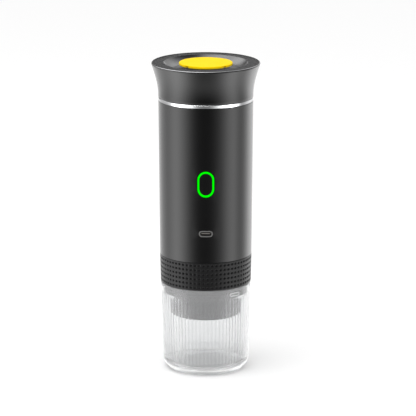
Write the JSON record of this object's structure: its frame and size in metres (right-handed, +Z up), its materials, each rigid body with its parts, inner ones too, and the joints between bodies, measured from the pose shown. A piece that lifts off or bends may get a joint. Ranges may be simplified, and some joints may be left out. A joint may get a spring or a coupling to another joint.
{
  "type": "portable electric coffee machine",
  "caption": "Slim upright portable espresso machine: frosted cup below, dimpled grip ring, tapered metallic body with lit button and charging port, flared screw lid with round vent knob.",
  "frame": {"origin": "centre of the cup's foot ring, on the table", "axes": "+Z up along the machine's axis; -Y towards the front with the button and the charging port"},
  "size_m": [0.0846, 0.0846, 0.2445],
  "materials": {
    "frosted_plastic": "frosted, translucent",
    "graphite_paint": "satin metallic paint on aluminium",
    "black_plastic": "matt, fine grain",
    "dark_plastic": "matt",
    "bright_chrome": "polished",
    "steel": "brushed",
    "yellow_plastic": "satin gloss",
    "glowing_green": "lit from behind",
    "grey_plastic": "matt",
    "red_silicone": "matt",
    "grey_silicone": "matt",
    "black_rubber": "matt",
    "insulation": "felted",
    "cell_wrap": "shrink-wrapped can",
    "copper_wire": "wound enamelled wire",
    "circuit_board": "lacquered",
    "heater_alloy": "cast"
  },
  "bodies": {
    "cup": {"cup": "frosted_plastic"},
    "brew_head": {"basket_holder": "dark_plastic", "grip_sleeve": "black_plastic", "filter_basket": "steel", "outlet_cap": "dark_plastic", "crema_valve": "grey_silicone", "collar_oring": "grey_silicone"},
    "head_seal": {"head_gasket": "red_silicone"},
    "housing": {"brew_base": "dark_plastic", "shower_screen": "steel", "screen_screw": "steel", "base_screws": "steel", "outer_shell": "graphite_paint", "trim_ring": "bright_chrome", "neck_ring": "dark_plastic", "water_tank": "steel", "tank_oring": "red_silicone", "heater_plate": "heater_alloy", "thermal_fuse": "grey_plastic", "temperature_probe": "black_plastic", "insulation_sleeve": "insulation", "chassis": "grey_plastic", "cell_left": "cell_wrap", "cell_back": "cell_wrap", "cell_right": "cell_wrap", "cell_tabs": "steel", "control_board": "circuit_board", "board_parts": "black_plastic", "board_screws": "steel", "switch_body": "steel", "light_ring": "glowing_green", "port_bezel": "grey_plastic", "port_shell": "steel", "port_tongue": "grey_plastic", "pump_body": "dark_plastic", "pump_coil": "copper_wire", "pump_frame": "steel", "pump_mount": "black_rubber", "pump_spring": "steel", "inlet_hose": "grey_silicone", "outlet_hose": "grey_silicone"},
    "pump_piston": {"pump_plunger": "steel"},
    "power_button": {"button_cap": "graphite_paint", "switch_plunger": "black_plastic"},
    "lid_gasket": {"lid_seal": "red_silicone"},
    "lid": {"lid_collar": "graphite_paint", "lid_top": "black_plastic", "lid_liner": "dark_plastic", "vent_spring": "steel", "lid_screws": "steel"},
    "vent_valve": {"vent_knob": "yellow_plastic", "vent_stem": "steel", "vent_washer": "red_silicone"}
  },
  "joints": [
    {"name": "cup_lift", "type": "slide", "parent": "cup", "child": "brew_head", "axis": [0, 0, 1], "range_m": [0, 0.08]},
    {"name": "head_rise", "type": "slide", "parent": "brew_head", "child": "head_seal", "axis": [0, 0, 1], "range_m": [0, 0.0361]},
    {"name": "head_turn", "type": "hinge", "parent": "head_seal", "child": "housing", "pos_m": [0, 0, 0.0845], "axis": [0, 0, 1], "range_deg": [0, 1080]},
    {"name": "lid_rise", "type": "slide", "parent": "housing", "child": "lid_gasket", "axis": [0, 0, 1], "range_m": [0, 0.0361]},
    {"name": "lid_turn", "type": "hinge", "parent": "lid_gasket", "child": "lid", "pos_m": [0, 0, 0.222], "axis": [0, 0, 1], "range_deg": [0, 1080]},
    {"name": "vent_press", "type": "slide", "parent": "lid", "child": "vent_valve", "axis": [0, 0, -1], "range_m": [0, 0.002], "stiffness_N_per_m": 800, "springref_m": -0.001, "deforming": ["vent_spring"]},
    {"name": "button_press", "type": "slide", "parent": "housing", "child": "power_button", "axis": [0, 1, 0], "range_m": [0, 0.0005], "stiffness_N_per_m": 3000, "springref_m": -0.0003},
    {"name": "pump_stroke", "type": "slide", "parent": "housing", "child": "pump_piston", "axis": [0, 0, -1], "range_m": [0, 0.003], "stiffness_N_per_m": 600, "springref_m": -0.002, "deforming": ["pump_spring"]}
  ],
  "couplings": [
    {"joint": "head_rise", "follows": "head_turn", "m_per_rad": 0.0019099},
    {"joint": "lid_rise", "follows": "lid_turn", "m_per_rad": 0.0019099}
  ]
}
